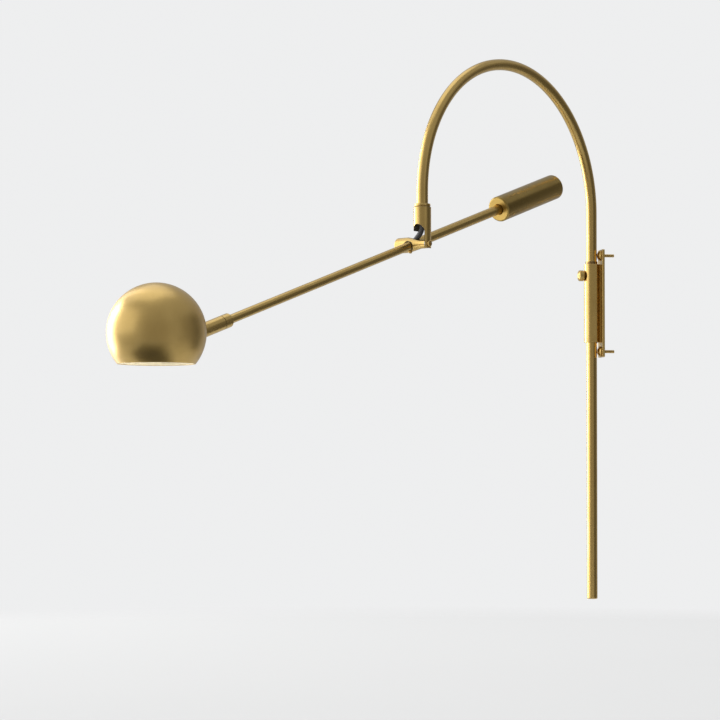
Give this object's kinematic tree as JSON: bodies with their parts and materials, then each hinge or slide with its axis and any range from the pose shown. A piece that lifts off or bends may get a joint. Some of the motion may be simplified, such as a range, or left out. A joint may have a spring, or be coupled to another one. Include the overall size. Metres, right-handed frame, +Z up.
{
  "type": "wall light",
  "caption": "Satin brass wall light: an arched stem that swings and slides in a wall sleeve, a counterbalanced tilting boom, and a cut globe shade on a ball swivel.",
  "frame": {"origin": "centre of the wall plate's back face, on the wall's plane", "axes": "+Y into the wall, -Y into the room, +Z up, +X to the right as one faces the wall"},
  "size_m": [0.5101, 0.6362, 0.6305],
  "materials": {
    "satin_brass": "satin, fine lengthways grain",
    "weight_brass": "satin, turned",
    "shade_brass": "satin outside, pale paint inside",
    "steel": "plated",
    "cap_metal": "pressed",
    "contact_brass": "bright",
    "fibre": "matt",
    "cable": "matt sheath",
    "nylon": "matt",
    "phenolic": "moulded",
    "bulb_glass": "frosted"
  },
  "bodies": {
    "wall_bracket": {"wall_plate": "satin_brass", "wall_screws": "satin_brass", "sleeve_block": "satin_brass", "sleeve_screws": "steel"},
    "lock_knob": {"lock_knob": "satin_brass"},
    "liner": {"liner_bush": "satin_brass"},
    "stem": {"stem_tube": "satin_brass", "stem_gland": "satin_brass", "stem_cable": "cable", "swivel_spigot": "satin_brass", "swivel_washer": "steel", "swivel_nut": "steel"},
    "knuckle": {"knuckle": "satin_brass", "friction_washer": "fibre", "link_cable": "cable"},
    "boom": {"cross_barrel": "satin_brass", "pivot_screw": "satin_brass", "pivot_washer": "steel", "boom_tube": "satin_brass", "boom_screw": "satin_brass", "rear_rod": "satin_brass", "boom_cable": "cable", "neck_collar": "satin_brass"},
    "counterweight": {"counterweight": "weight_brass", "weight_screw": "steel"},
    "neck": {"neck_barrel": "satin_brass", "stop_screw": "steel", "seat_spring": "steel", "ball_seat": "nylon", "neck_cap": "satin_brass", "neck_lead": "cable"},
    "shade": {"ball_stud": "steel", "outer_washer": "satin_brass", "shade_shell": "shade_brass", "inner_washer": "steel", "stud_nut": "steel", "lampholder": "phenolic", "screw_shell": "cap_metal", "centre_contact": "contact_brass", "bulb_cap": "cap_metal", "bulb_glass": "bulb_glass", "shade_lead": "cable"}
  },
  "joints": [
    {"name": "lock_knob_turn", "type": "hinge", "parent": "wall_bracket", "child": "lock_knob", "pos_m": [0, -0.0137, 0.0334], "axis": [0, -1, 0], "range_deg": [0, 360]},
    {"name": "stem_swing", "type": "hinge", "parent": "wall_bracket", "child": "liner", "pos_m": [0, -0.0137, 0], "axis": [0, 0, 1], "range_deg": [-115, 45]},
    {"name": "stem_slide", "type": "slide", "parent": "liner", "child": "stem", "axis": [0, 0, 1], "range_m": [-0.054, 0.28]},
    {"name": "knuckle_turn", "type": "hinge", "parent": "stem", "child": "knuckle", "pos_m": [0.20569, -0.25883, 0.0492], "axis": [0, 0, 1], "range_deg": [-150, 150]},
    {"name": "boom_tilt", "type": "hinge", "parent": "knuckle", "child": "boom", "pos_m": [0.20569, -0.25883, 0.0492], "axis": [0.766, 0.6428, 0], "range_deg": [-53, 16], "deforming": ["link_cable"]},
    {"name": "weight_slide", "type": "slide", "parent": "boom", "child": "counterweight", "axis": [0.6096, -0.7265, -0.3173], "range_m": [-0.01, 0.02]},
    {"name": "neck_turn", "type": "hinge", "parent": "boom", "child": "neck", "pos_m": [0.41121, -0.52709, -0.06376], "axis": [0.6096, -0.7265, -0.3173], "range_deg": [-150, 150]},
    {"name": "shade_tilt", "type": "hinge", "parent": "neck", "child": "shade", "pos_m": [0.41121, -0.52709, -0.06376], "axis": [0.766, 0.6428, 0], "range_deg": [-19, 50]}
  ]
}
